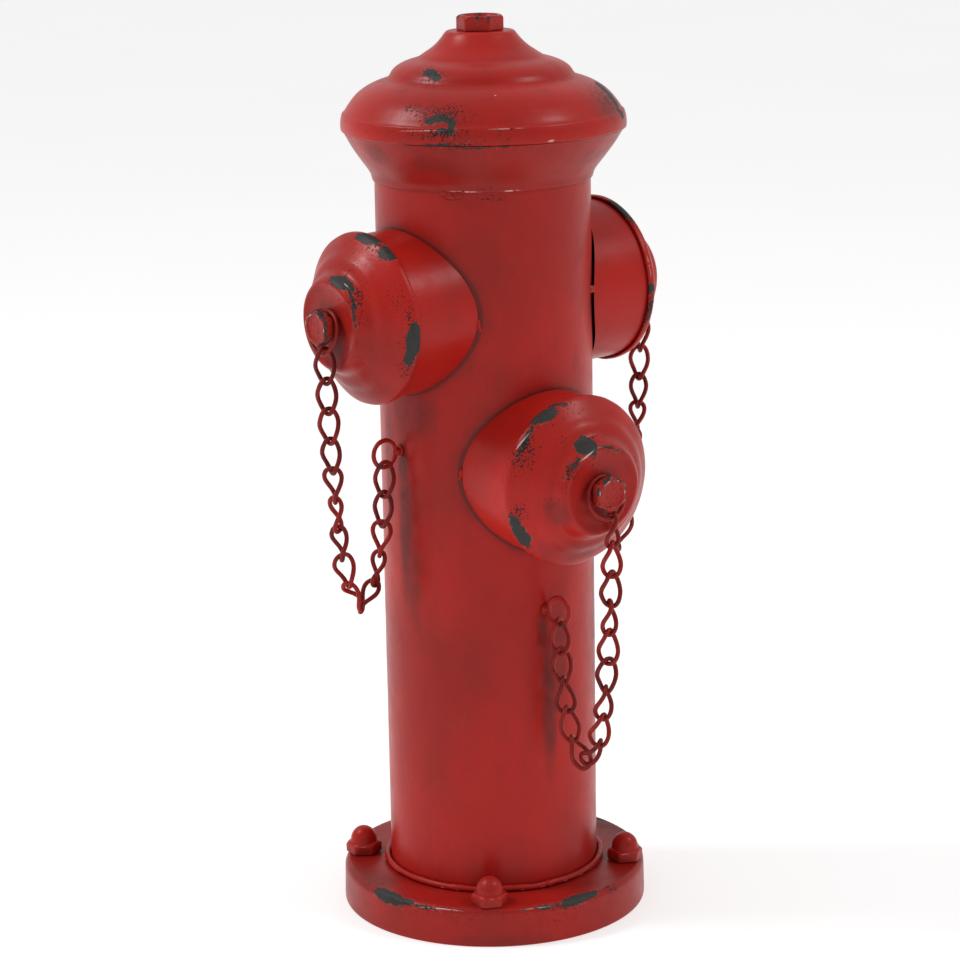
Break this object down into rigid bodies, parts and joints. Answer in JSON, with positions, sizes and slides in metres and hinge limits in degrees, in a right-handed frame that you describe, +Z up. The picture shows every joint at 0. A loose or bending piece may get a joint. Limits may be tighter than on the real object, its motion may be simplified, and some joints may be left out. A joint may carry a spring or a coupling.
{
  "type": "fire hydrant ornament",
  "caption": "Ornamental sheet-steel fire hydrant: hollow barrel on a bolted round base, domed bonnet, capped outlets and hanging retainer chains, in worn red paint.",
  "frame": {"origin": "centre of the underside of the base, on the barrel's axis", "axes": "+Z up along the barrel; -Y towards the low front outlet; -X and +X towards the two high side outlets"},
  "size_m": [0.1662, 0.1443, 0.357],
  "materials": {
    "red_paint": "satin, rubbed through to dark primer on the edges",
    "bare_steel": "plain zinc-plated fasteners, hidden inside"
  },
  "bodies": {
    "hydrant": {"acorn_nut_front": "red_paint", "acorn_nut_left": "red_paint", "acorn_nut_rear": "red_paint", "acorn_nut_right": "red_paint", "barrel_tube": "red_paint", "base_bolt_front": "bare_steel", "base_bolt_left": "bare_steel", "base_bolt_rear": "bare_steel", "base_bolt_right": "bare_steel", "base_flange": "red_paint", "base_plate": "red_paint", "bonnet_bolt": "red_paint", "bonnet_dome": "red_paint", "bonnet_nut": "bare_steel", "bonnet_skirt": "red_paint", "cap_bolt_front": "red_paint", "cap_bolt_left": "red_paint", "cap_bolt_right": "red_paint", "cap_front": "red_paint", "cap_left": "red_paint", "cap_nut_front": "bare_steel", "cap_nut_left": "bare_steel", "cap_nut_right": "bare_steel", "cap_right": "red_paint", "foot_bead": "red_paint", "outlet_front": "red_paint", "outlet_left": "red_paint", "outlet_right": "red_paint", "wall_ring_front": "red_paint", "wall_ring_left": "red_paint", "wall_ring_right": "red_paint"},
    "ring_left": {"cap_ring_left": "red_paint"},
    "chain_left": {"chain_left_1": "red_paint", "chain_left_2": "red_paint", "chain_left_3": "red_paint", "chain_left_4": "red_paint", "chain_left_5": "red_paint", "chain_left_6": "red_paint", "chain_left_7": "red_paint"},
    "ring_front": {"cap_ring_front": "red_paint"},
    "chain_front": {"chain_front_1": "red_paint", "chain_front_2": "red_paint", "chain_front_3": "red_paint", "chain_front_4": "red_paint", "chain_front_5": "red_paint", "chain_front_6": "red_paint", "chain_front_7": "red_paint"},
    "ring_right": {"cap_ring_right": "red_paint"},
    "chain_right": {"chain_right_1": "red_paint", "chain_right_2": "red_paint", "chain_right_3": "red_paint", "chain_right_4": "red_paint", "chain_right_5": "red_paint", "chain_right_6": "red_paint", "chain_right_7": "red_paint"}
  },
  "joints": [
    {"name": "chain_left_swing", "type": "hinge", "parent": "hydrant", "child": "chain_left", "pos_m": [-0.07879, -0.00433, 0.23583], "axis": [-0.5052, -0.0646, 0.8606], "range_deg": [-12, 28]},
    {"name": "cap_ring_left_turn", "type": "hinge", "parent": "hydrant", "child": "ring_left", "pos_m": [-0.07701, -0.00188, 0.24554], "axis": [-0.9992, -0.0244, -0.0332], "range_deg": [-6.9, 15.1]},
    {"name": "chain_front_swing", "type": "hinge", "parent": "hydrant", "child": "chain_front", "pos_m": [0.00015, -0.07879, 0.17353], "axis": [0.0474, -0.5324, 0.8452], "range_deg": [-16, 28]},
    {"name": "cap_ring_front_turn", "type": "hinge", "parent": "hydrant", "child": "ring_front", "pos_m": [-0.00161, -0.077, 0.18341], "axis": [-0.0209, -0.9988, -0.0454], "range_deg": [-9.3, 15.8]},
    {"name": "chain_right_swing", "type": "hinge", "parent": "hydrant", "child": "chain_right", "pos_m": [0.07943, -0.00021, 0.23856], "axis": [0.4942, -0.0181, 0.8692], "range_deg": [-28, 16]},
    {"name": "cap_ring_right_turn", "type": "hinge", "parent": "hydrant", "child": "ring_right", "pos_m": [0.07703, 0.00135, 0.24835], "axis": [0.9997, 0.0175, 0.0157], "range_deg": [-14.7, 8.7]}
  ],
  "couplings": [
    {"joint": "cap_ring_left_turn", "follows": "chain_left_swing", "ratio": 0.509},
    {"joint": "cap_ring_front_turn", "follows": "chain_front_swing", "ratio": 0.534},
    {"joint": "cap_ring_right_turn", "follows": "chain_right_swing", "ratio": 0.495}
  ]
}
